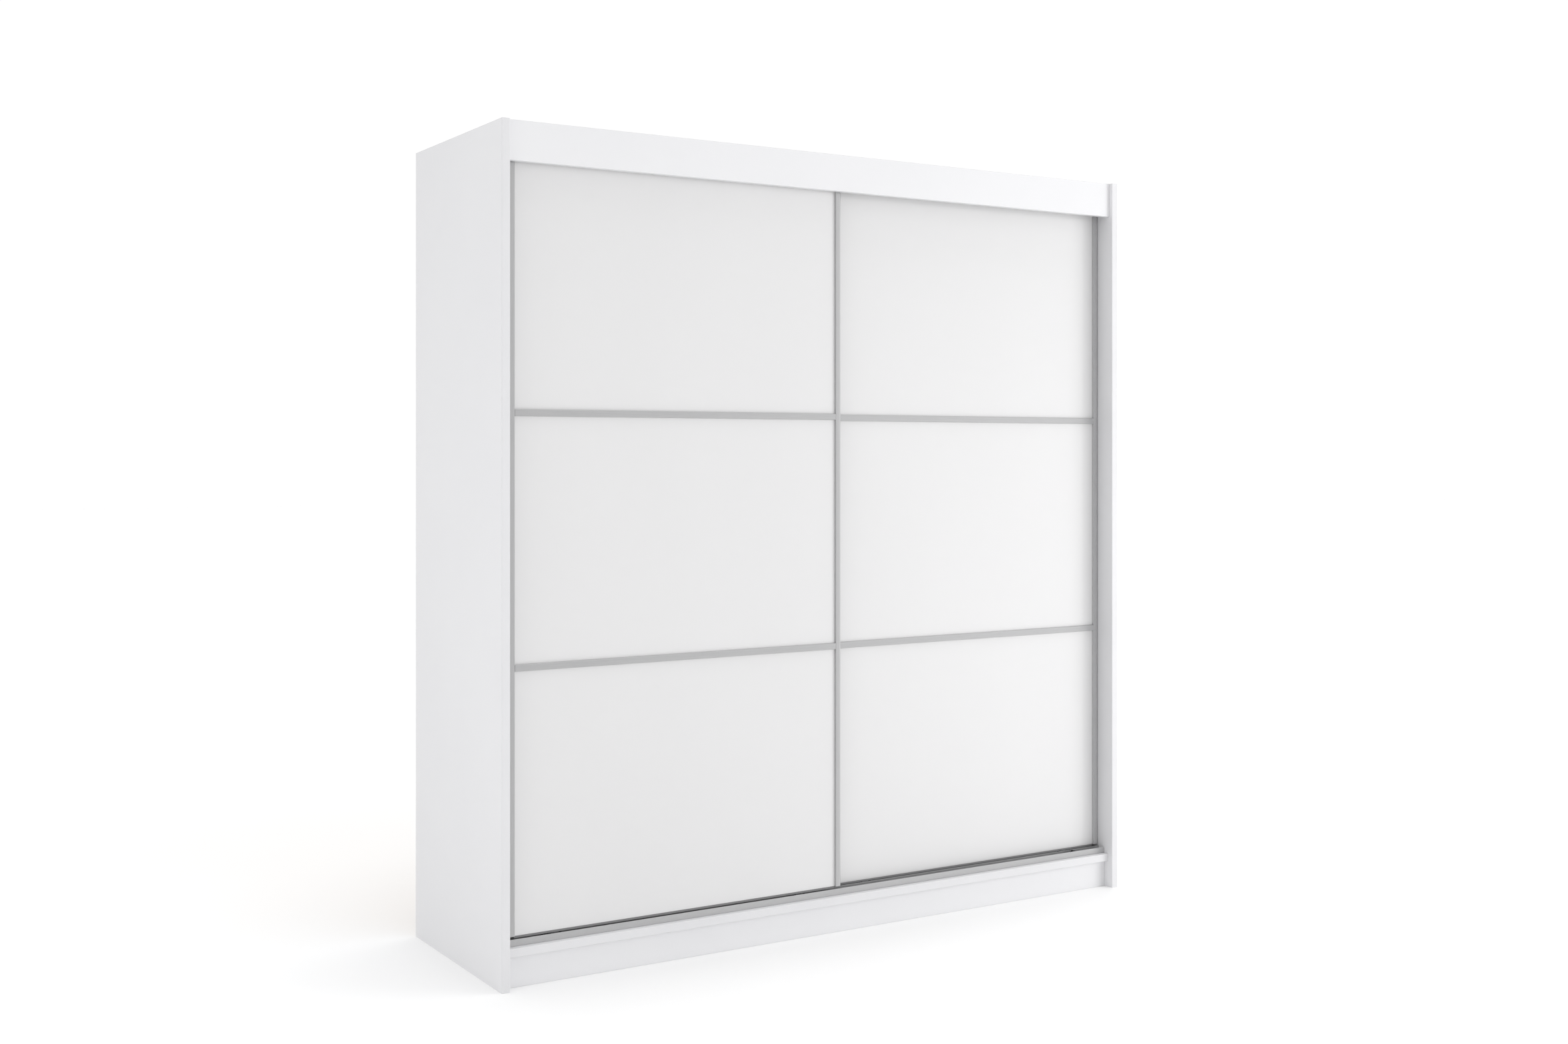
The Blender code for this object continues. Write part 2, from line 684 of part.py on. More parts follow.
def sliding_door(side, left, front, drop, finishes):
    """One door with its frame, glass, board, guides and rollers, carried by an empty.

    Everything but the rollers and their brackets is lower by drop.
    """
    right = left + DOOR_W
    door = pivot(f"{side}_door", (left + DOOR_W / 2, front + DOOR_T / 2, AXLE_Z))
    stile(f"{side}_door_stile_left", left, 1, front, drop, finishes, door)
    stile(f"{side}_door_stile_right", right, -1, front, drop, finishes, door)
    infill = (left + PANEL_INSET, right - PANEL_INSET)
    glass_y = (front + GLASS_RECESS, front + GLASS_RECESS + GLASS_T)
    joint = DIVIDER_WEB / 2 + FIT
    levels = {level: z - drop for level, z in DIVIDER_HEIGHTS.items()}
    panes = {
        "bottom": (DOOR_BOTTOM - drop, levels["lower"] - joint),
        "middle": (levels["lower"] + joint, levels["upper"] - joint),
        "top": (levels["upper"] + joint, DOOR_TOP - drop),
    }
    for place_name, (low, high) in panes.items():
        pane = box(f"{side}_door_glass_{place_name}",
                   (infill[0], glass_y[0], low), (infill[1], glass_y[1], high),
                   finishes["glass"], FIT)
        place(pane, door.location, door)
    clear = STILE_W + FIT
    for level, z in levels.items():
        divider(f"{side}_door_divider_{level}", left + clear, right - clear, z, front, finishes, door)
    bottom_seal(f"{side}_door_seal", left + clear, right - clear, front, drop, finishes, door)
    wheels = (left + WHEEL_INSET, right - WHEEL_INSET)
    door_board(f"{side}_door_board", *infill, wheels, front, drop, finishes, door)
    for end, x in zip(("left", "right"), wheels):
        roller_bracket(f"{side}_door_bracket_{end}", x, front, finishes, door)
        axle(f"{side}_door_axle_{end}", x, front, finishes, door)
        wheel(f"{side}_door_wheel_{end}", x, front, finishes, door)
    for end, x in (("left", left + GUIDE_INSET), ("right", right - GUIDE_INSET)):
        top_guide(f"{side}_door_top_guide_{end}", x, front, drop, finishes, door)


# ---------------------------------------------------------------- assembly

def main():
    for thing in list(bpy.data.objects):
        bpy.data.objects.remove(thing, do_unlink=True)
    finishes = make_finishes()
    side_panel("side_panel_left", -1, finishes)
    side_panel("side_panel_right", 1, finishes)
    decks(finishes)
    plinth(finishes)
    back_sheets(finishes)
    interior(finishes)
    bottom_track(finishes)
    track_stops(finishes)
    top_track(finishes)
    sliding_door("left", LEFT_DOOR_X, LEFT_DOOR_Y, 0.0, finishes)
    sliding_door("right", RIGHT_DOOR_X, RIGHT_DOOR_Y, RIGHT_DOOR_DROP, finishes)


main()
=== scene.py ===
import json
import math

import bmesh
import bpy
from mathutils import Matrix, Vector


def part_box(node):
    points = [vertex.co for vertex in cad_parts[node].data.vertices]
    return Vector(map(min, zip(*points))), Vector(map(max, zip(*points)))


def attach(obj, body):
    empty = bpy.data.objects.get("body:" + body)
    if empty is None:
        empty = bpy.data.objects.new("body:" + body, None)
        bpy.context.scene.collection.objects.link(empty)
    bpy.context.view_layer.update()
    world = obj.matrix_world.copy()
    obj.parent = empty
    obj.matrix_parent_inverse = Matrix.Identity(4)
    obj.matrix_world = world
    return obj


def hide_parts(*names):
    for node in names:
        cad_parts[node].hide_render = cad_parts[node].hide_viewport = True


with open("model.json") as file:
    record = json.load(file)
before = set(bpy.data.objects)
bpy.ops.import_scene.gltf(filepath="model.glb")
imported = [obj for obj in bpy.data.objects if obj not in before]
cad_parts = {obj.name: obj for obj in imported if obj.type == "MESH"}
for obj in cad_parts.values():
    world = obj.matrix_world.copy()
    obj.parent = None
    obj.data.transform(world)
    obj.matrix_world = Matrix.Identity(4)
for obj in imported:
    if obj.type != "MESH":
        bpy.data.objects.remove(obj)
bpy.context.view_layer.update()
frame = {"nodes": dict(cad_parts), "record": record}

# Camera: two-point perspective at eye height, from the front left
CAMERA_AT = (-2.6608, -4.2756, 1.3145)
CAMERA_TURN = 31.84
CAMERA_LENS = 40.14
SENSOR = 36.0
CAMERA_SHIFT = -0.0433

# Studio: the surround grows brighter to the right, from where a direction's X passes SURROUND_TURN
SURROUND = 0.62
SURROUND_RIGHT = 1.25
SURROUND_TURN = 0.25
BACKDROP = 1.02
FLOOR_HALF = 40.0

# Lights: places, aims and sizes in metres, the sun's angle in degrees
SUN_STRENGTH = 1.26
SUN_ANGLE = 50.0
KEY_POWER = 51.0
KEY_AT = (3.2, -2.8, 1.25)
KEY_AIM = (0.9, -0.3, 1.1)
KEY_SIZE = (2.0, 2.4)
FILL_POWER = 16.0
FILL_AT = (-3.6, -0.9, 1.0)
FILL_AIM = (-1.0, 0.0, 1.1)
FILL_SIZE = (2.4, 2.4)

SHELVES = [f"shelf_{number}" for number in range(1, 6)]

# Each end, with the direction along X that points inwards from it
ENDS = (("left", 1), ("right", -1))

# Boards: chipboard between two melamine skins, with ABS bands (thickness, rounding) on the edges that show
SKIN = 0.0003
THIN_BAND = (0.0008, 0.0006)
THICK_BAND = (0.002, 0.0018)

# The print on the back sheets, and the play between two pieces
FILM = 0.0001
FIT = 0.0003

# Door frame profiles
WALL = 0.0016
HANDLE_ROUND = 0.0065
EDGE_ROUND = 0.0012
GLASS_RECESS = 0.006
GLASS_ARRIS = 0.0005
PANEL_REAR = 0.0203
DIVIDER_WALL = 0.0014
DIVIDER_WEB = 0.0024

# Rollers; the web's radius is a share of the tread's
FLANGE_H = 0.0025
FLANGE_SLOPE = 0.0006
WEB_SHARE = 0.82
DISH = 0.0012
HUB_R = 0.0066
BORE_R = 0.0032

# Tracks
TRACK_BASE = 0.0018
TRACK_ROUND = 0.0006
RIDGE_W = 0.003
RIDGE_TOP = 0.1075
LIP_END_R = 0.006

# Turned fittings; a profile holds shares of the fitting's radius and height
SCREW_R = 0.0036
SCREW_H = 0.0011
SCREW_PROFILE = ((1.0, -1.0), (1.0, 0.35), (0.93, 0.62), (0.75, 0.85), (0.5, 1.0))
SCREW_TWIST = 1.1
CROSS_L = 0.0040
CROSS_W = 0.0008
CROSS_FLOOR = 0.2
CAP_R = 0.0085
CAP_H = 0.0012
CAP_PROFILE = ((1.0, -1.0), (1.0, 0.3), (0.94, 0.7), (0.8, 1.0), (0.72, 0.9))
CAP_INSET = 0.034
PIN_R = 0.0025
PIN_L = 0.0095
PIN_PROFILE = (
    (1.0, -0.5), (1.0, 0.0), (1.5, 0.0), (1.5, 0.1),
    (1.0, 0.14), (1.0, 0.92), (0.85, 1.0),
)
NAIL_R = 0.0019
NAIL_H = 0.0004
NAIL_PROFILE = ((1.0, -1.0), (1.0, 0.4), (0.6, 1.0))
NAIL_PITCH = 0.15

# Spare pin holes, so many above and below each shelf
HOLE_R = 0.0025
HOLE_DEPTH = 0.006
HOLE_PITCH = 0.032
SPARE_HOLES = 3

# Hanging rail and its sockets; a flange's plate is in shares of its socket, its rim in shares of the plate
RAIL_WALL = 0.0012
SOCKET_FLOOR = 0.003
SOCKET_ROUND = 0.0006
PLATE_THICK = 0.13
PLATE_WIDTH = 1.18
PLATE_HEIGHT = 1.62
PLATE_RIM = 0.7

# Track fittings: the stops' shares are of the stop's height and length
TRACK_SCREWS = 6
STOP_CLIP = 0.45
STOP_NOSE = 0.3

# Pile strips: how much lower the rear door's reaches, and the upright one's shares of stile and gap
BRUSH_REACH = 0.0012
BRUSH_WIDTH = 1 / 3
BRUSH_FILL = 0.75
BRUSH_ROUND = 0.25

# How finely round things are drawn, and the angles (degrees) from which an edge counts as sharp
ARC_STEPS = 6
ROUND_STEPS = 24
SMALL_ROUND_STEPS = 14
WHEEL_STEPS = 56
SHARP_ANGLE = 35.0
BEVEL_ANGLE = 40.0
BEVEL_SEGMENTS = 3


# ---------------------------------------------------------------- materials

class Finish:
    """A Principled material whose colour, roughness and bump come from procedural patterns."""

    def __init__(self, name):
        self.material = bpy.data.materials.new(name)
        self.material.use_nodes = True
        self.tree = self.material.node_tree
        self.shader = self.tree.nodes["Principled BSDF"]

    def set(self, **values):
        """Sets constants on the shader's own sockets."""
        for socket, value in values.items():
            self.shader.inputs[socket.replace("_", " ")].default_value = value
        return self

    def add(self, kind, **settings):
        """A new node of one kind."""
        node = self.tree.nodes.new(kind)
        for key, value in settings.items():
            setattr(node, key, value)
        return node

    def link(self, source, target):
        """Joins one node's output to another's input."""
        self.tree.links.new(source, target)

    def place(self, stretch=(1.0, 1.0, 1.0)):
        """Object coordinates in metres, stretched along the axes."""
        coords = self.add("ShaderNodeTexCoord")
        mapping = self.add("ShaderNodeMapping")
        mapping.inputs["Scale"].default_value = stretch
        self.link(coords.outputs["Object"], mapping.inputs["Vector"])
        return mapping.outputs["Vector"]

    def noise(self, scale, detail, stretch=(1.0, 1.0, 1.0), rough=0.5):
        """A cloudy pattern."""
        texture = self.add("ShaderNodeTexNoise")
        texture.inputs["Scale"].default_value = scale
        texture.inputs["Detail"].default_value = detail
        texture.inputs["Roughness"].default_value = rough
        self.link(self.place(stretch), texture.inputs["Vector"])
        return texture.outputs["Fac"]

    def flakes(self, scale, stretch=(1.0, 1.0, 1.0)):
        """A pattern of cells, each with a value of its own."""
        texture = self.add("ShaderNodeTexVoronoi")
        texture.inputs["Scale"].default_value = scale
        self.link(self.place(stretch), texture.inputs["Vector"])
        return texture.outputs["Color"]

    def spread(self, source, low, high, start=0.3, end=0.7):
        """Maps a pattern to a range of numbers."""
        mapper = self.add("ShaderNodeMapRange")
        for socket, value in (("From Min", start), ("From Max", end), ("To Min", low), ("To Max", high)):
            mapper.inputs[socket].default_value = value
        self.link(source, mapper.inputs["Value"])
        return mapper.outputs["Result"]

    def blend(self, share, one, other):
        """Mixes two by a pattern; each is a colour or another blend's output."""
        mixer = self.add("ShaderNodeMix", data_type="RGBA")
        self.link(share, mixer.inputs["Factor"])
        for socket, colour in ((mixer.inputs["A"], one), (mixer.inputs["B"], other)):
            if isinstance(colour, tuple):
                socket.default_value = (*colour, 1.0)
            else:
                self.link(colour, socket)
        return mixer.outputs["Result"]

    def colour(self, source):
        """Sends a pattern to the shader's base colour."""
        self.link(source, self.shader.inputs["Base Color"])
        return self

    def rough(self, source, low, high):
        """Lets the roughness follow a pattern between two values."""
        self.link(self.spread(source, low, high), self.shader.inputs["Roughness"])
        return self

    def bump(self, source, depth, strength):
        """Raises the surface by a pattern, to a depth in metres."""
        bumper = self.add("ShaderNodeBump")
        bumper.inputs["Strength"].default_value = strength
        bumper.inputs["Distance"].default_value = depth
        self.link(source, bumper.inputs["Height"])
        self.link(bumper.outputs["Normal"], self.shader.inputs["Normal"])
        return self


def laminate():
    """White melamine board: satin, with a fine pearl structure."""
    finish = Finish("white_laminate").set(IOR=1.48)
    fine = finish.noise(900.0, 3.0)
    broad = finish.noise(3.0, 2.0)
    tone = finish.blend(finish.spread(broad, 0.0, 1.0), (0.800, 0.800, 0.815), (0.815, 0.815, 0.828))
    pearl = finish.blend(finish.spread(fine, 0.0, 0.25), tone, (0.785, 0.785, 0.80))
    return finish.colour(pearl).rough(fine, 0.38, 0.48).bump(fine, 0.00003, 0.35).material


def edge_band():
    """ABS strip glued to the boards' edges, smoother than the faces and a shade greyer."""
    finish = Finish("white_edge_band").set(IOR=1.50)
    broad = finish.noise(6.0, 2.0)
    fine = finish.noise(900.0, 3.0)
    tone = finish.blend(finish.spread(broad, 0.0, 1.0), (0.735, 0.735, 0.750), (0.755, 0.755, 0.769))
    return finish.colour(tone).rough(fine, 0.28, 0.34).bump(fine, 0.00002, 0.2).material


def chipboard():
    """The raw core: pressed wood chips, pale tan with darker flakes and open pores, whose hollows get a
    painted shade of dark brown.
    """
    finish = Finish("chipboard").set(IOR=1.40)
    flakes = finish.flakes(420.0, (1.0, 1.0, 1.8))
    pores = finish.noise(650.0, 4.0)
    wood = finish.blend(flakes, (0.44, 0.31, 0.18), (0.66, 0.51, 0.33))
    # Painted shade: dark brown where the pore pattern dips, standing in for the shade inside the pores
    tone = finish.blend(finish.spread(pores, 0.6, 0.0, 0.35, 0.55), wood, (0.26, 0.17, 0.09))
    return finish.colour(tone).rough(pores, 0.75, 0.95).bump(pores, 0.0004, 0.8).material


def white_glass():
    """Back-painted glass: a polished face with the faint roller wave of float glass."""
    finish = Finish("white_glass").set(IOR=1.54, Coat_Weight=1.0, Coat_Roughness=0.01, Coat_IOR=1.5)
    wave = finish.noise(2.2, 1.0, (1.0, 1.0, 0.35))
    haze = finish.noise(14.0, 3.0)
    tone = finish.blend(finish.spread(wave, 0.0, 1.0), (0.747, 0.744, 0.748), (0.756, 0.753, 0.757))
    return finish.colour(tone).rough(haze, 0.012, 0.03).bump(wave, 0.0006, 0.25).material


def anodised(name, along):
    """Satin anodised aluminium, drawn along one axis."""
    stretch = [1.0, 1.0, 1.0]
    stretch[along] = 0.012
    finish = Finish(name).set(Metallic=0.72)
    lines = finish.noise(1600.0, 3.0, tuple(stretch), 0.6)
    broad = finish.noise(5.0, 2.0)
    tone = finish.blend(finish.spread(lines, 0.0, 1.0), (0.53, 0.53, 0.535), (0.61, 0.61, 0.615))
    shade = finish.blend(finish.spread(broad, 0.0, 0.4), tone, (0.59, 0.59, 0.595))
    return finish.colour(shade).rough(lines, 0.28, 0.40).bump(lines, 0.00003, 0.3).material


def zinc_steel():
    """Zinc-plated pressed steel with a faint crystal pattern."""
    finish = Finish("zinc_steel").set(Metallic=1.0)
    flakes = finish.flakes(420.0)
    fine = finish.noise(600.0, 3.0)
    tone = finish.blend(flakes, (0.52, 0.53, 0.55), (0.66, 0.67, 0.68))
    return finish.colour(tone).rough(fine, 0.28, 0.46).bump(fine, 0.00005, 0.4).material


def chrome():
    """Polished chrome plate with fine handling marks."""
    finish = Finish("chrome").set(Metallic=1.0)
    marks = finish.noise(500.0, 3.0, (0.1, 1.0, 1.0))
    tone = finish.blend(finish.spread(marks, 0.0, 1.0), (0.76, 0.77, 0.78), (0.82, 0.82, 0.83))
    return finish.colour(tone).rough(marks, 0.06, 0.14).bump(marks, 0.00002, 0.2).material


def nylon():
    """Moulded grey nylon."""
    finish = Finish("grey_nylon").set(IOR=1.50)
    fine = finish.noise(700.0, 3.0)
    tone = finish.blend(finish.spread(fine, 0.0, 1.0), (0.085, 0.085, 0.09), (0.115, 0.115, 0.12))
    return finish.colour(tone).rough(fine, 0.38, 0.52).bump(fine, 0.00006, 0.5).material


def white_plastic():
    """Moulded white polystyrene of the connector caps."""
    finish = Finish("white_plastic").set(IOR=1.55)
    fine = finish.noise(500.0, 2.0)
    tone = finish.blend(finish.spread(fine, 0.0, 1.0), (0.78, 0.78, 0.79), (0.81, 0.81, 0.82))
    return finish.colour(tone).rough(fine, 0.22, 0.34).bump(fine, 0.00004, 0.4).material


def rubber():
    """Soft black rubber, matt and slightly dusty."""
    finish = Finish("black_rubber").set(IOR=1.45)
    fine = finish.noise(800.0, 3.0)
    dust = finish.noise(60.0, 4.0)
    tone = finish.blend(finish.spread(dust, 0.0, 1.0), (0.030, 0.030, 0.031), (0.055, 0.055, 0.056))
    return finish.colour(tone).rough(fine, 0.60, 0.80).bump(fine, 0.00008, 0.6).material


def pile():
    """Grey brush pile, standing in fine tufts."""
    finish = Finish("brush_pile").set(Sheen_Weight=0.4, Sheen_Roughness=0.5)
    tufts = finish.noise(2600.0, 2.0, (1.0, 1.0, 0.4), 0.7)
    tone = finish.blend(finish.spread(tufts, 0.0, 1.0), (0.18, 0.18, 0.185), (0.30, 0.30, 0.305))
    return finish.colour(tone).rough(tufts, 0.85, 1.0).bump(tufts, 0.0004, 1.0).material


def painted_hardboard():
    """The back sheets' white-printed inner face, with the fibre showing through faintly."""
    finish = Finish("painted_hardboard").set(IOR=1.46)
    fibre = finish.noise(260.0, 5.0, (1.0, 1.0, 0.55))
    tone = finish.blend(finish.spread(fibre, 0.0, 1.0), (0.74, 0.738, 0.73), (0.79, 0.788, 0.782))
    return finish.colour(tone).rough(fibre, 0.48, 0.62).bump(fibre, 0.0001, 0.5).material


def bare_hardboard():
    """Pressed brown fibre, smooth and mottled, with a few darker bundles."""
    finish = Finish("bare_hardboard").set(IOR=1.42)
    fibre = finish.noise(520.0, 6.0, (1.0, 1.0, 0.6), 0.7)
    cloud = finish.noise(9.0, 4.0)
    bundles = finish.noise(150.0, 3.0, (1.0, 1.0, 0.25))
    base = finish.blend(finish.spread(cloud, 0.0, 1.0), (0.30, 0.190, 0.105), (0.37, 0.240, 0.140))
    speck = finish.blend(finish.spread(fibre, 0.0, 0.6), base, (0.46, 0.32, 0.20))
    tone = finish.blend(finish.spread(bundles, 0.0, 0.5, 0.62, 0.78), speck, (0.17, 0.10, 0.055))
    return finish.colour(tone).rough(fibre, 0.50, 0.70).bump(fibre, 0.0001, 0.6).material


def door_board():
    """The plain rear face of the doors' boards."""
    finish = Finish("door_board").set(IOR=1.47)
    fine = finish.noise(700.0, 3.0)
    tone = finish.blend(finish.spread(fine, 0.0, 1.0), (0.76, 0.76, 0.768), (0.79, 0.79, 0.798))
    return finish.colour(tone).rough(fine, 0.44, 0.56).bump(fine, 0.00006, 0.5).material


def make_finishes():
    """Every finish by name; a CAD slot's finish has the slot's name, but for aluminium."""
    return {
        "laminate": laminate(),
        "edge_band": edge_band(),
        "chipboard": chipboard(),
        "white_glass": white_glass(),
        "aluminium_upright": anodised("aluminium_upright", 2),
        "aluminium_level": anodised("aluminium_level", 0),
        "door_board": door_board(),
        "back_sheet": painted_hardboard(),
        "bare_hardboard": bare_hardboard(),
        "zinc_steel": zinc_steel(),
        "chrome": chrome(),
        "grey_plastic": nylon(),
        "white_plastic": white_plastic(),
        "black_rubber": rubber(),
        "pile": pile(),
    }


# ---------------------------------------------------------------- mesh tools

def add_object(name, data):
    """Puts a mesh, a light or a camera into the scene."""
    thing = bpy.data.objects.new(name, data)
    bpy.context.scene.collection.objects.link(thing)
    return thing


def rounded(corners):
    """An outline from (u, v) or (u, v, radius) corners, each round one as an arc."""
    points = []
    count = len(corners)
    for index, corner in enumerate(corners):
        here = Vector(corner[:2])
        radius = corner[2] if len(corner) > 2 else 0.0
        if not radius:
            points.append(here)
            continue
        before = (Vector(corners[index - 1][:2]) - here).normalized()
        after = (Vector(corners[(index + 1) % count][:2]) - here).normalized()
        half = before.angle(after) / 2
        centre = here + (before + after).normalized() * (radius / math.sin(half))
        start = here + before * (radius / math.tan(half)) - centre
        end = here + after * (radius / math.tan(half)) - centre
        sweep = start.angle_signed(end)
        for step in range(ARC_STEPS + 1):
            points.append(centre + Matrix.Rotation(-sweep * step / ARC_STEPS, 2) @ start)
    return points


def scaled(shares, radius, height):
    """A profile from shares of a radius and a height."""
    return [(radius * across, height * up) for across, up in shares]


def oval(centre_u, centre_v, width, height):
    """An upright outline with straight sides and half-round ends."""
    radius = width / 2
    straight = height / 2 - radius
    points = []
    for lift, first in ((straight, 0.0), (-straight, math.pi)):
        for step in range(ROUND_STEPS // 2 + 1):
            angle = first + math.pi * step / (ROUND_STEPS // 2)
            points.append((centre_u + radius * math.cos(angle), centre_v + lift + radius * math.sin(angle)))
    return points


class Shape:
    """Gathers closed solids into one mesh."""

    def __init__(self):
        self.builder = bmesh.new()

    def rings(self, loops, closed=False):
        """Joins rings of equal length; the ends are capped unless the rings close on themselves."""
        rings = [[self.builder.verts.new(point) for point in loop] for loop in loops]
        pairs = list(zip(rings, rings[1:]))
        if closed:
            pairs.append((rings[-1], rings[0]))
        for one, other in pairs:
            for index in range(len(one)):
                follow = (index + 1) % len(one)
                self.builder.faces.new((one[index], one[follow], other[follow], other[index]))
        if not closed:
            self.builder.faces.new(rings[0])
            self.builder.faces.new(reversed(rings[-1]))
        return self

    def prism(self, outline, along, start, end):
        """An outline swept along X, Y or Z; its own axes are the two others, in X, Y, Z order."""
        across = [axis for axis in range(3) if axis != along]
        loops = []
        for distance in (start, end):
            loop = []
            for point in outline:
                corner = [0.0, 0.0, 0.0]
                corner[across[0]], corner[across[1]] = point[0], point[1]
                corner[along] = distance
                loop.append(corner)
            loops.append(loop)
        return self.rings(loops)

    def block(self, low, high):
        """A block between two corners."""
        outline = [(low[0], low[1]), (high[0], low[1]), (high[0], high[1]), (low[0], high[1])]
        return self.prism(outline, 2, low[2], high[2])

    def turned(self, profile, centre, axis, side, steps=ROUND_STEPS, closed=False):
        """A profile of (radius, height) turned about an axis; its height runs to that axis's side."""
        across = [other for other in range(3) if other != axis]
        loops = []
        for radius, height in profile:
            loop = []
            for step in range(steps):
                angle = 2 * math.pi * step / steps
                corner = list(centre)
                corner[across[0]] += radius * math.cos(angle)
                corner[across[1]] += radius * math.sin(angle)
                corner[axis] += side * height
                loop.append(corner)
            loops.append(loop)
        return self.rings(loops, closed)

    def stamp(self, mesh, matrix):
        """Adds a copy of another mesh."""
        kept = set(self.builder.verts)
        self.builder.from_mesh(mesh)
        added = [vertex for vertex in self.builder.verts if vertex not in kept]
        bmesh.ops.transform(self.builder, matrix=matrix, verts=added)
        return self

    def thing(self, name):
        """The finished mesh as an object, with its faces pointing out."""
        bmesh.ops.recalc_face_normals(self.builder, faces=self.builder.faces[:])
        mesh = bpy.data.meshes.new(name)
        self.builder.to_mesh(mesh)
        self.builder.free()
        return add_object(name, mesh)


def carve(thing, cutter):
    """Takes the cutter out of a shape for good."""
    boolean = thing.modifiers.new("carve", "BOOLEAN")
    boolean.object = cutter
    graph = bpy.context.evaluated_depsgraph_get()
    mesh = bpy.data.meshes.new_from_object(thing.evaluated_get(graph))
    thing.modifiers.clear()
    thing.data = mesh
    bpy.data.objects.remove(cutter)


def piece(thing, body, material, node=None):
    """Makes a shape part of the wardrobe, in place of a CAD node if one is named."""
    thing.data.materials.clear()
    thing.data.materials.append(material)
    thing.data.shade_smooth()
    thing.data.set_sharp_from_angle(angle=math.radians(SHARP_ANGLE))
    normals = thing.modifiers.new("normals", "WEIGHTED_NORMAL")
    normals.keep_sharp = True
    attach(thing, body)
    if node:
        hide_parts(node)


def soften(thing, width):
    """Rounds the sharp edges of a thing."""
    bevel = thing.modifiers.new("edges", "BEVEL")
    bevel.width = width
    bevel.segments = BEVEL_SEGMENTS
    bevel.limit_method = "ANGLE"
    bevel.angle_limit = math.radians(BEVEL_ANGLE)
    bevel.harden_normals = True
    return thing


def corners(node):
    """A CAD node's lowest and highest corner."""
    return tuple(Vector(corner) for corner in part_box(node))


def middle(node):
    """The middle of a CAD node."""
    low, high = corners(node)
    return (low + high) / 2


# ---------------------------------------------------------------- boards

def band_strip(shape, low, high, thin, edge, along_span, band):
    """An ABS strip on one edge of a board, rounded along its two outer arrises."""
    axis, side = edge
    outer = high[axis] if side > 0 else low[axis]
    thickness, rounding = band
    inner = outer - side * thickness
    outline = [
        (inner, low[thin]), (outer, low[thin], rounding),
        (outer, high[thin], rounding), (inner, high[thin]),
    ]
    if axis > thin:
        # prism takes the outline's two axes in X, Y, Z order
        outline = [(corner[1], corner[0], *corner[2:]) for corner in outline]
    along = 3 - axis - thin
    shape.prism(rounded(outline), along, *along_span)


def board(node, thin, edges, finishes, band=THIN_BAND):
    """A chipboard core with a skin on each face and a band on each named edge.

    An edge is (axis, side). No two banded edges of a board meet at a corner.
    """
    low, high = corners(node)
    core_low, core_high = low.copy(), high.copy()
    for axis, side in edges:
        if side < 0:
            core_low[axis] += band[0]
        else:
            core_high[axis] -= band[0]
    inner_low, inner_high = core_low.copy(), core_high.copy()
    inner_low[thin] += SKIN
    inner_high[thin] -= SKIN
    core = Shape().block(inner_low, inner_high).thing(f"{node}_core")
    piece(core, "carcass", finishes["chipboard"], node)
    lower_top, upper_bottom = core_high.copy(), core_low.copy()
    lower_top[thin] = inner_low[thin]
    upper_bottom[thin] = inner_high[thin]
    skins = Shape().block(core_low, lower_top).block(upper_bottom, core_high).thing(f"{node}_skins")
    piece(skins, "carcass", finishes["laminate"])
    if not edges:
        return
    bands = Shape()
    for edge in edges:
        along = 3 - edge[0] - thin
        band_strip(bands, low, high, thin, edge, (low[along], high[along]), band)
    piece(bands.thing(f"{node}_bands"), "carcass", finishes["edge_band"])


def side_panel(node, side, finishes):
    """A side panel, rebated behind for the back sheet and banded in front and on top."""
    low, high = corners(node)
    sheet_low, sheet_high = corners("back_sheet_left" if side < 0 else "back_sheet_right")
    outer, inner = (low.x, high.x) if side < 0 else (high.x, low.x)
    rebate_x = (sheet_low.x if side < 0 else sheet_high.x) + side * FIT
    rebate_y = sheet_low.y - FIT
    front = low.y + THICK_BAND[0]
    top = high.z - THICK_BAND[0]
    core = Shape().prism([
        (outer - side * SKIN, front), (inner + side * SKIN, front),
        (inner + side * SKIN, rebate_y), (rebate_x, rebate_y),
        (rebate_x, high.y), (outer - side * SKIN, high.y),
    ], 2, low.z, top)
    piece(core.thing(f"{node}_core"), "carcass", finishes["chipboard"], node)
    skins = Shape()
    for edge, rear in ((outer, high.y), (inner + side * SKIN, rebate_y)):
        span = sorted((edge - side * SKIN, edge))
        skins.block((span[0], front, low.z), (span[1], rear, top))
    piece(skins.thing(f"{node}_skins"), "carcass", finishes["laminate"])
    bands = Shape()
    band_strip(bands, low, high, 0, (1, -1), (low.z, high.z), THICK_BAND)
    band_strip(bands, low, high, 0, (2, 1), (front, high.y), THICK_BAND)
    piece(bands.thing(f"{node}_bands"), "carcass", finishes["edge_band"])


def back_sheet(node, finishes):
    """Hardboard, printed white on its inner face and bare behind."""
    low, high = corners(node)
    sheet = Shape().block((low.x, low.y + FILM, low.z), high).thing(f"{node}_fibre")
    piece(sheet, "carcass", finishes["bare_hardboard"], node)
    film = Shape().block(low, (high.x, low.y + FILM, high.z)).thing(f"{node}_print")
    piece(film, "carcass", finishes["back_sheet"])


def boards(finishes):
    """Every board of the carcass, with bands on the edges that show."""
    side_panel("side_panel_left", -1, finishes)
    side_panel("side_panel_right", 1, finishes)
    board("top_panel", 2, [], finishes)
    board("bottom_panel", 2, [(1, -1)], finishes, THICK_BAND)
    board("fascia", 1, [(2, -1), (2, 1)], finishes)
    board("plinth_front", 1, [(2, -1)], finishes)
    board("plinth_rear", 1, [(2, -1)], finishes)
    board("plinth_support", 0, [], finishes)
    board("centre_partition", 0, [(1, -1)], finishes)
    for node in SHELVES + ["hat_shelf"]:
        board(node, 2, [(1, -1)], finishes)
    back_sheet("back_sheet_left", finishes)
    back_sheet("back_sheet_right", finishes)


# ---------------------------------------------------------------- fittings

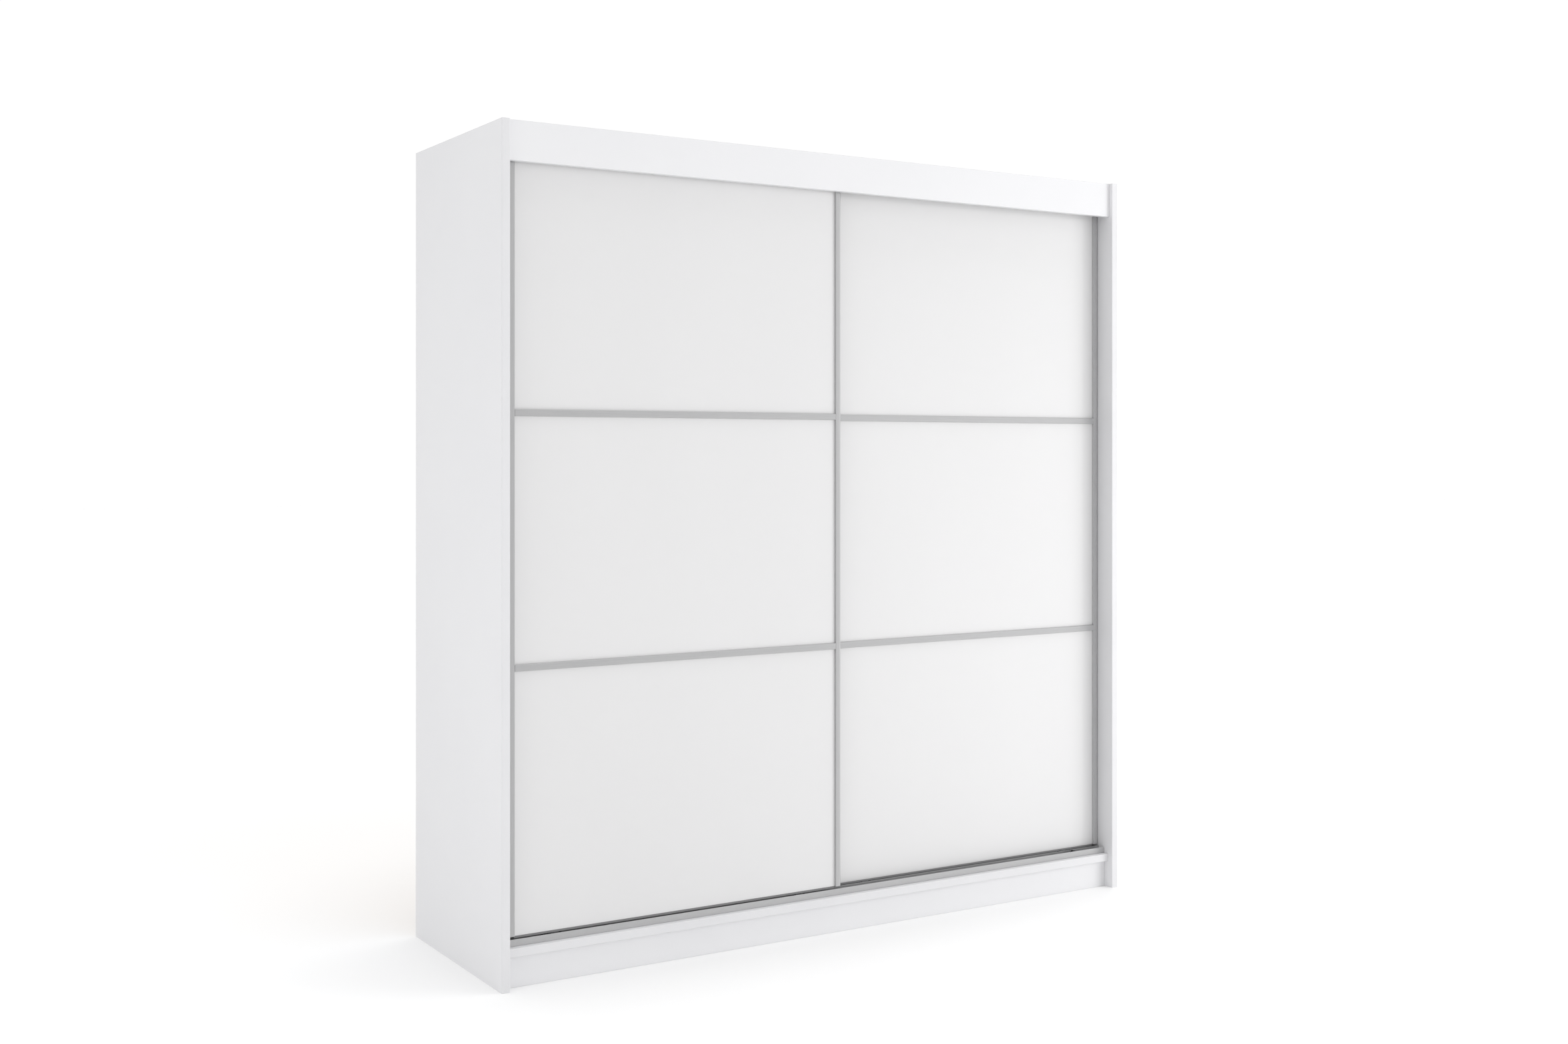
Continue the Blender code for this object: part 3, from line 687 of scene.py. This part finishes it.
def screw_mesh():
    """A flat-domed screw head with a cross recess, standing up along Z."""
    profile = scaled(SCREW_PROFILE, SCREW_R, SCREW_H)
    head = Shape().turned(profile, (0.0, 0.0, 0.0), 2, 1).thing("screw_head")
    arm = CROSS_L / 2
    half = CROSS_W / 2
    outline = []
    for quarter in range(4):
        turn = Matrix.Rotation(math.pi / 2 * quarter, 2)
        outline += [turn @ Vector(corner) for corner in ((half, half), (half, arm), (-half, arm))]
    cross = Shape().prism(outline, 2, SCREW_H * CROSS_FLOOR, SCREW_H * 2).thing("screw_cross")
    carve(head, cross)
    mesh = head.data
    bpy.data.objects.remove(head)
    return mesh


def upright_turn(axis, side):
    """The rotation that takes +Z to one side of an axis."""
    direction = Vector((0.0, 0.0, 0.0))
    direction[axis] = side
    return Vector((0.0, 0.0, 1.0)).rotation_difference(direction).to_matrix().to_4x4()


def screws(name, body, mesh, spots, axis, side, finishes):
    """Screw heads at a list of points, all facing one way, each turned a little differently."""
    shape = Shape()
    for number, spot in enumerate(spots):
        twist = Matrix.Rotation(number * SCREW_TWIST, 4, "Z")
        shape.stamp(mesh, Matrix.Translation(spot) @ upright_turn(axis, side) @ twist)
    piece(shape.thing(name), body, finishes["zinc_steel"])


def connector_caps(finishes):
    """White caps over the eccentric connectors of the top panel, the partition and the hat shelf."""
    top_low, top_high = corners("top_panel")
    wall_low, wall_high = corners("centre_partition")
    hat_low, hat_high = corners("hat_shelf")
    rows = (wall_low.y + 2 * CAP_INSET, wall_high.y - 2 * CAP_INSET)
    spots = []
    for y in rows:
        for x in (top_low.x + CAP_INSET, top_high.x - CAP_INSET):
            spots.append((2, -1, (x, y, top_low.z)))
        for z in (wall_low.z + CAP_INSET, wall_high.z - CAP_INSET):
            spots.append((0, -1, (wall_low.x, y, z)))
        for x in (hat_low.x + CAP_INSET, hat_high.x - CAP_INSET):
            spots.append((2, -1, (x, y, hat_low.z)))
    profile = scaled(CAP_PROFILE, CAP_R, CAP_H)
    caps = Shape()
    for axis, side, spot in spots:
        caps.turned(profile, spot, axis, side)
    piece(caps.thing("connector_caps"), "carcass", finishes["white_plastic"])


def pin_rows(shelf):
    """The two distances back at which a shelf's pins stand."""
    low, high = corners(shelf)
    return low.y + HOLE_PITCH, high.y - 2 * HOLE_PITCH


def shelf_pins(finishes):
    """Four steel pins under each loose shelf: a collar against the wall, then a flat-topped stem."""
    profile = scaled(PIN_PROFILE, PIN_R, PIN_L)
    shape = Shape()
    for shelf in SHELVES:
        low, high = corners(shelf)
        for y in pin_rows(shelf):
            for x, side in ((low.x - FIT, 1), (high.x + FIT, -1)):
                shape.turned(profile, (x, y, low.z - PIN_R), 0, side, SMALL_ROUND_STEPS)
    piece(shape.thing("shelf_pins"), "carcass", finishes["zinc_steel"])


def pin_holes():
    """Rows of spare pin holes above and below each shelf, bored into both walls beside the shelves."""
    bore = [(HOLE_R, -HOLE_DEPTH), (HOLE_R, HOLE_DEPTH)]
    steps = [step for step in range(-SPARE_HOLES, SPARE_HOLES + 1) if step]
    faces = {"side_panel_left": corners("side_panel_left")[1].x,
             "centre_partition": corners("centre_partition")[0].x}
    for wall, face in faces.items():
        for layer in ("skins", "core"):
            cutter = Shape()
            for shelf in SHELVES:
                low, high = corners(shelf)
                level = (low.z + high.z) / 2
                for y in pin_rows(shelf):
                    for step in steps:
                        spot = (face, y, level + step * HOLE_PITCH)
                        cutter.turned(bore, spot, 0, 1, SMALL_ROUND_STEPS)
            carve(bpy.data.objects[f"{wall}_{layer}"], cutter.thing("pin_hole_cutter"))


def nails(finishes):
    """Small nail heads that hold the back sheets, around their edges and up the partition."""
    shape = Shape()
    profile = scaled(NAIL_PROFILE, NAIL_R, NAIL_H)
    inset = (corners("side_panel_left")[1].x - corners("back_sheet_left")[0].x) / 2
    deck_top = corners("bottom_panel")[1].z
    roof = corners("top_panel")[0].z
    for node in ("back_sheet_left", "back_sheet_right"):
        low, high = corners(node)
        levels = ((low.z + deck_top) / 2, (roof + high.z) / 2)
        columns = round((high.x - low.x) / NAIL_PITCH)
        rows = round((high.z - low.z) / NAIL_PITCH)
        for number in range(columns + 1):
            share = number / columns
            x = low.x + inset + share * (high.x - low.x - 2 * inset)
            for z in levels:
                shape.turned(profile, (x, high.y, z), 1, 1, SMALL_ROUND_STEPS)
        for number in range(1, rows):
            z = levels[0] + number / rows * (levels[1] - levels[0])
            for x in (low.x + inset, high.x - inset):
                shape.turned(profile, (x, high.y, z), 1, 1, SMALL_ROUND_STEPS)
    piece(shape.thing("back_nails"), "carcass", finishes["zinc_steel"])


def oval_loops(sections, centre):
    """Rings for a shape along X: each section is its x, width and height."""
    return [
        [(x, y, z) for y, z in oval(centre.y, centre.z, width, height)]
        for x, width, height in sections
    ]


def hanging_rail(finishes):
    """The oval tube and the two cups that hold its ends."""
    low, high = corners("hanging_rail")
    centre = middle("hanging_rail")
    size = (high.y - low.y, high.z - low.z)
    bore = (size[0] - 2 * RAIL_WALL, size[1] - 2 * RAIL_WALL)
    sections = [(low.x, *bore), (low.x, *size), (high.x, *size), (high.x, *bore)]
    tube = Shape().rings(oval_loops(sections, centre), closed=True)
    piece(tube.thing("hanging_rail_tube"), "carcass", finishes["chrome"], "hanging_rail")
    pocket = (size[0] + 2 * FIT, size[1] + 2 * FIT)
    for end, side in ENDS:
        node = f"rail_socket_{end}"
        low, high = corners(node)
        shell = (high.y - low.y, high.z - low.z)
        wall, mouth = (low.x, high.x) if side > 0 else (high.x, low.x)
        lip = mouth - side * SOCKET_ROUND
        floor = wall + side * SOCKET_FLOOR
        sections = [
            (wall, *shell), (lip, *shell),
            (mouth, shell[0] - SOCKET_ROUND, shell[1] - SOCKET_ROUND), (mouth, *pocket), (floor, *pocket),
        ]
        cup = Shape().rings(oval_loops(sections, centre))
        piece(cup.thing(f"{node}_cup"), "carcass", finishes["chrome"], node)


def rail_flanges(mesh, finishes):
    """A plate around each rail socket with a screw above and below."""
    for end, side in ENDS:
        node = f"rail_socket_{end}"
        low, high = corners(node)
        centre = middle(node)
        size = high - low
        wall = low.x if side > 0 else high.x
        thick = size.x * PLATE_THICK
        plate = (size.y * PLATE_WIDTH, size.z * PLATE_HEIGHT)
        hole = (size.y + FIT, size.z + FIT)
        sections = [
            (wall, *plate), (wall + side * thick * PLATE_RIM, *plate),
            (wall + side * thick, plate[0] - thick, plate[1] - thick),
            (wall + side * thick, *hole), (wall, *hole),
        ]
        flange = Shape().rings(oval_loops(sections, centre), closed=True).thing(f"{node}_flange")
        piece(flange, "carcass", finishes["chrome"])
        # Halfway between the socket's rim and the plate's
        reach = (size.z + plate[1]) / 4
        spots = [(wall + side * thick, centre.y, centre.z + lift) for lift in (-reach, reach)]
        screws(f"{node}_screws", "carcass", mesh, spots, 0, side, finishes)


# ---------------------------------------------------------------- tracks

def door_front(side):
    """The plane of a door's front face."""
    return corners(f"{side}_door_stile_left")[0].y


def between_doors():
    """The plane midway between the two doors."""
    return (corners("left_door_stile_left")[1].y + door_front("right")) / 2


def ridge_planes():
    """Where the two wheel ridges stand."""
    return [middle(f"{side}_door_wheel_left").y for side in ("left", "right")]


def lip_cutter(low, high):
    """What a round leaves over at the two upper corners of the bottom track's front wall."""
    cutter = Shape()
    for end, side in ((low.x, -1), (high.x, 1)):
        centre_x, centre_z = end - side * LIP_END_R, high.z - LIP_END_R
        beyond_x, beyond_z = end + side * LIP_END_R, high.z + LIP_END_R
        corner = [(beyond_x, centre_z), (beyond_x, beyond_z), (centre_x, beyond_z)]
        for step in range(ARC_STEPS + 1):
            angle = math.pi / 2 * (1 - step / ARC_STEPS)
            x = centre_x + side * LIP_END_R * math.cos(angle)
            corner.append((x, centre_z + LIP_END_R * math.sin(angle)))
        cutter.prism(corner, 1, low.y - WALL, low.y + 2 * WALL)
    return cutter.thing("lip_corner_cutter")


def bottom_track(finishes):
    """Two channels with a ridge in each; the front wall's upper corners are rounded off."""
    low, high = corners("bottom_track")
    floor = low.z + TRACK_BASE
    outline = [
        (low.y, low.z, TRACK_ROUND), (low.y, high.z, TRACK_ROUND),
        (low.y + WALL, high.z, TRACK_ROUND), (low.y + WALL, floor),
    ]
    fin = (between_doors() - WALL / 2, between_doors() + WALL / 2)
    rear_wall = (high.y - WALL, high.y)
    for ridge, (front, rear) in zip(ridge_planes(), (fin, rear_wall)):
        outline += [
            (ridge - RIDGE_W / 2, floor), (ridge - RIDGE_W / 2, RIDGE_TOP, TRACK_ROUND),
            (ridge + RIDGE_W / 2, RIDGE_TOP, TRACK_ROUND), (ridge + RIDGE_W / 2, floor),
            (front, floor), (front, high.z, TRACK_ROUND),
            (rear, high.z, TRACK_ROUND), (rear, floor),
        ]
    # The rear wall's outer face runs down to the track's underside
    outline[-1] = (high.y, low.z, TRACK_ROUND)
    track = Shape().prism(rounded(outline), 0, low.x, high.x).thing("bottom_track_profile")
    carve(track, lip_cutter(low, high))
    piece(track, "carcass", finishes["aluminium_level"], "bottom_track")


def top_track(finishes):
    """Three fins hanging from a plate."""
    low, high = corners("top_track")
    under = high.z - TRACK_BASE
    outline = []
    for front in (low.y, between_doors() - WALL / 2, high.y - WALL):
        rear = front + WALL
        outline += [
            (front, under), (front, low.z, TRACK_ROUND),
            (rear, low.z, TRACK_ROUND), (rear, under),
        ]
    # The outer faces of the first and last fin run up to the plate's top
    outline[0] = (low.y, high.z)
    outline[-1] = (high.y, high.z)
    track = Shape().prism(rounded(outline), 0, low.x, high.x).thing("top_track_profile")
    piece(track, "carcass", finishes["aluminium_level"], "top_track")


def track_screws(mesh, finishes):
    """Screws along the floor of each channel of both tracks."""
    fin = between_doors()
    for node, side in (("bottom_track", 1), ("top_track", -1)):
        low, high = corners(node)
        if side > 0:
            floor = low.z + TRACK_BASE
            ridges = ridge_planes()
            rows = ((low.y + WALL + ridges[0]) / 2, (fin + ridges[1]) / 2)
        else:
            floor = high.z - TRACK_BASE
            rows = ((low.y + fin) / 2, (high.y + fin) / 2)
        spots = []
        for number in range(TRACK_SCREWS):
            x = low.x + (number + 0.5) / TRACK_SCREWS * (high.x - low.x)
            spots += [(x, y, floor) for y in rows]
        screws(f"{node}_screws", "carcass", mesh, spots, 2, side, finishes)


def track_stops(finishes):
    """Each stop is a low zinc clip pressed into the channel, with a rubber nose that the wheel meets."""
    for row in ("front", "rear"):
        for end, inward in ENDS:
            node = f"track_stop_{row}_{end}"
            low, high = corners(node)
            outer, inner = (low.x, high.x) if inward > 0 else (high.x, low.x)
            joint = inner - inward * STOP_NOSE * (high.x - low.x)
            clip_top = low.z + STOP_CLIP * (high.z - low.z)
            span = sorted((outer, joint - inward * FIT))
            clip = Shape().block((span[0], low.y, low.z), (span[1], high.y, clip_top))
            clip = soften(clip.thing(f"{node}_clip"), EDGE_ROUND / 2)
            piece(clip, "carcass", finishes["zinc_steel"])
            span = sorted((joint, inner))
            nose = Shape().block((span[0], low.y, low.z), (span[1], high.y, high.z))
            nose = soften(nose.thing(f"{node}_nose"), EDGE_ROUND)
            piece(nose, "carcass", finishes["black_rubber"], node)


# ---------------------------------------------------------------- doors

def stile(node, inward, body, finishes):
    """A C-shaped handle profile with a full round outer edge."""
    low, high = corners(node)
    outer, inner = (low.x, high.x) if inward > 0 else (high.x, low.x)
    front, rear = low.y, high.y
    lip_front = front + GLASS_RECESS - FIT
    lip_rear = front + PANEL_REAR + FIT
    lip_x = inner - inward * WALL
    web_x = outer + inward * WALL
    outline = [
        (outer, front, HANDLE_ROUND), (inner, front, EDGE_ROUND),
        (inner, lip_front), (lip_x, lip_front),
        (lip_x, front + WALL), (web_x, front + WALL, HANDLE_ROUND - WALL),
        (web_x, rear - WALL), (lip_x, rear - WALL),
        (lip_x, lip_rear), (inner, lip_rear),
        (inner, rear, EDGE_ROUND), (outer, rear, EDGE_ROUND),
    ]
    profile = Shape().prism(rounded(outline), 2, low.z, high.z).thing(f"{node}_profile")
    piece(profile, body, finishes["aluminium_upright"], node)


def divider(node, body, finishes):
    """A strip across the joint between two panes, with a web that goes in between them."""
    low, high = corners(node)
    web_top = (low.z + high.z + DIVIDER_WEB) / 2
    web_bottom = web_top - DIVIDER_WEB
    face = low.y + DIVIDER_WALL
    lip = low.y + GLASS_RECESS - FIT
    outline = [
        (low.y, low.z, EDGE_ROUND), (low.y, high.z, EDGE_ROUND),
        (lip, high.z), (lip, high.z - DIVIDER_WALL), (face, high.z - DIVIDER_WALL), (face, web_top),
        (high.y, web_top), (high.y, web_bottom),
        (face, web_bottom), (face, low.z + DIVIDER_WALL), (lip, low.z + DIVIDER_WALL), (lip, low.z),
    ]
    strip = Shape().prism(rounded(outline), 0, low.x, high.x).thing(f"{node}_profile")
    piece(strip, body, finishes["aluminium_level"], node)


def wheel(node, body, finishes):
    """A grooved nylon roller, dished on both sides, with the steel shield of its bearing in each dish."""
    low, high = corners(node)
    centre = middle(node)
    half = (high.y - low.y) / 2
    flange = (high.z - low.z) / 2
    tread = flange - FLANGE_H
    web = tread * WEB_SHARE
    groove = RIDGE_W / 2 + FLANGE_SLOPE
    right = [
        (tread, groove), (flange, groove + FLANGE_SLOPE), (flange, half - FLANGE_SLOPE),
        (flange - FLANGE_SLOPE, half), (web, half), (web, half - DISH), (HUB_R, half - DISH),
        (HUB_R, half - 2 * FIT), (BORE_R, half - 2 * FIT),
    ]
    left = [(radius, -height) for radius, height in reversed(right)]
    roller = Shape().turned(left + right, centre, 1, 1, WHEEL_STEPS, closed=True)
    piece(roller.thing(f"{node}_roller"), body, finishes["grey_plastic"], node)
    shields = Shape()
    rim = web - FIT
    bore = HUB_R + FIT
    for face, side in ((low.y, -1), (high.y, 1)):
        profile = [(bore, -DISH), (bore, -DISH / 2), (rim, -DISH / 2), (rim, -DISH)]
        shields.turned(profile, (centre.x, face, centre.z), 1, side, WHEEL_STEPS, closed=True)
    piece(shields.thing(f"{node}_shields"), body, finishes["zinc_steel"])


def screw_pair(node, z):
    """Two points on a node's rear face, a quarter of its length in from each end."""
    low, high = corners(node)
    quarter = (high.x - low.x) / 4
    return [(low.x + quarter, high.y, z), (high.x - quarter, high.y, z)]


def door_screws(side, mesh, finishes):
    """Two screws in the slots of each roller bracket and two in the foot of each top guide."""
    board_top = corners(f"{side}_door_board")[1].z
    spots = []
    for end in ("left", "right"):
        wheel_top = corners(f"{side}_door_wheel_{end}")[1].z
        bracket = f"{side}_door_bracket_{end}"
        spots += screw_pair(bracket, (corners(bracket)[1].z + wheel_top) / 2)
        guide = f"{side}_door_top_guide_{end}"
        spots += screw_pair(guide, (corners(guide)[0].z + board_top) / 2)
    screws(f"{side}_door_screws", f"{side}_door", mesh, spots, 1, 1, finishes)


def bottom_brush(side, finishes):
    """The pile strip that closes the slit under a door; the rear door's hangs behind the track's fin."""
    node = f"{side}_door_seal"
    low, high = corners(node)
    if side == "right":
        low.z -= BRUSH_REACH
    strip = Shape().block(low, high).thing(f"{node}_pile")
    piece(strip, f"{side}_door", finishes["pile"], node)


def brush_strip(finishes):
    """A pile strip behind the left door's right stile that closes the gap to the right door."""
    low, high = corners("left_door_stile_right")
    gap = door_front("right") - high.y
    x = (low.x + high.x) / 2
    half = (high.x - low.x) * BRUSH_WIDTH / 2
    rear = high.y + gap * BRUSH_FILL
    shape = Shape().block((x - half, high.y, low.z), (x + half, rear, high.z))
    strip = soften(shape.thing("door_brush"), gap * BRUSH_ROUND)
    piece(strip, "left_door", finishes["pile"])


def doors(mesh, finishes):
    """Both doors; what isn't rebuilt here stays as the CAD's own solid."""
    for side in ("left", "right"):
        body = f"{side}_door"
        for end, inward in ENDS:
            stile(f"{side}_door_stile_{end}", inward, body, finishes)
            wheel(f"{side}_door_wheel_{end}", f"{side}_wheel_{end}", finishes)
        for level in ("lower", "upper"):
            divider(f"{side}_door_divider_{level}", body, finishes)
        door_screws(side, mesh, finishes)
        bottom_brush(side, finishes)
    brush_strip(finishes)


# ---------------------------------------------------------------- studio

def studio_floor():
    """A pale floor, large enough to run out of sight; it leaves no bright patch in the glass."""
    builder = bmesh.new()
    bmesh.ops.create_grid(builder, x_segments=2, y_segments=2, size=FLOOR_HALF)
    mesh = bpy.data.meshes.new("studio_floor")
    builder.to_mesh(mesh)
    builder.free()
    floor = add_object("studio_floor", mesh)
    finish = Finish("studio_floor").set(IOR=1.3)
    broad = finish.noise(0.8, 2.0)
    tone = finish.blend(finish.spread(broad, 0.0, 1.0), (0.93, 0.93, 0.93), (0.94, 0.94, 0.94))
    finish.colour(tone).rough(broad, 0.75, 0.85)
    mesh.materials.append(finish.material)
    floor.visible_glossy = False


def studio_world():
    """A white surround, brighter towards the right; the camera sees it as plain white."""
    world = bpy.data.worlds.new("studio")
    bpy.context.scene.world = world
    world.use_nodes = True
    tree = world.node_tree
    background = tree.nodes["Background"]
    background.inputs["Color"].default_value = (1.0, 1.0, 1.0, 1.0)
    coords = tree.nodes.new("ShaderNodeTexCoord")
    parts = tree.nodes.new("ShaderNodeSeparateXYZ")
    ramp = tree.nodes.new("ShaderNodeMapRange")
    ramp.interpolation_type = "SMOOTHSTEP"
    ramp.inputs["From Min"].default_value = SURROUND_TURN
    ramp.inputs["To Min"].default_value = SURROUND
    ramp.inputs["To Max"].default_value = SURROUND_RIGHT
    path = tree.nodes.new("ShaderNodeLightPath")
    strength = tree.nodes.new("ShaderNodeMapRange")
    strength.inputs["To Max"].default_value = BACKDROP
    tree.links.new(coords.outputs["Generated"], parts.inputs["Vector"])
    tree.links.new(parts.outputs["X"], ramp.inputs["Value"])
    tree.links.new(ramp.outputs["Result"], strength.inputs["To Min"])
    tree.links.new(path.outputs["Is Camera Ray"], strength.inputs["Value"])
    tree.links.new(strength.outputs["Result"], background.inputs["Strength"])


def soft_light(name, at, target, size, power):
    """A rectangular softbox aimed at a point, unseen by the camera and by reflections."""
    data = bpy.data.lights.new(name, "AREA")
    data.shape = "RECTANGLE"
    data.size, data.size_y = size
    data.energy = power
    lamp = add_object(name, data)
    lamp.location = at
    lamp.rotation_euler = (Vector(target) - Vector(at)).to_track_quat("-Z", "Y").to_euler()
    lamp.visible_camera = False
    lamp.visible_glossy = False


def studio_lights():
    """A broad light from straight above, a soft key from the right, and a weak fill for the left side."""
    data = bpy.data.lights.new("top_sun", "SUN")
    data.energy = SUN_STRENGTH
    data.angle = math.radians(SUN_ANGLE)
    add_object("top_sun", data)
    soft_light("right_key", KEY_AT, KEY_AIM, KEY_SIZE, KEY_POWER)
    soft_light("left_fill", FILL_AT, FILL_AIM, FILL_SIZE, FILL_POWER)


def camera():
    """The photo's view: a level camera with its lens shifted down."""
    data = bpy.data.cameras.new("camera")
    data.sensor_width = SENSOR
    data.lens = CAMERA_LENS
    data.shift_y = CAMERA_SHIFT
    eye = add_object("camera", data)
    eye.location = CAMERA_AT
    eye.rotation_euler = (math.radians(90.0), 0.0, math.radians(-CAMERA_TURN))
    bpy.context.scene.camera = eye


# ---------------------------------------------------------------- assembly

def dress_frame(finishes):
    """Gives each CAD node its finish; the glass panes also get a ground arris."""
    for part in frame["record"]["subparts"]:
        node, slot = part["node"], part["material_slot"]
        mesh = frame["nodes"][node].data
        mesh.materials.clear()
        mesh.materials.append(finishes["aluminium_level" if slot == "aluminium" else slot])
        if slot == "white_glass":
            soften(frame["nodes"][node], GLASS_ARRIS)


def main():
    """Sets up the studio, then dresses the wardrobe from its boards to its doors."""
    camera()
    studio_world()
    studio_floor()
    studio_lights()
    finishes = make_finishes()
    dress_frame(finishes)
    screw = screw_mesh()
    boards(finishes)
    connector_caps(finishes)
    shelf_pins(finishes)
    pin_holes()
    nails(finishes)
    hanging_rail(finishes)
    rail_flanges(screw, finishes)
    bottom_track(finishes)
    top_track(finishes)
    track_screws(screw, finishes)
    track_stops(finishes)
    doors(screw, finishes)
    bpy.context.scene.view_settings.view_transform = "Standard"


main()
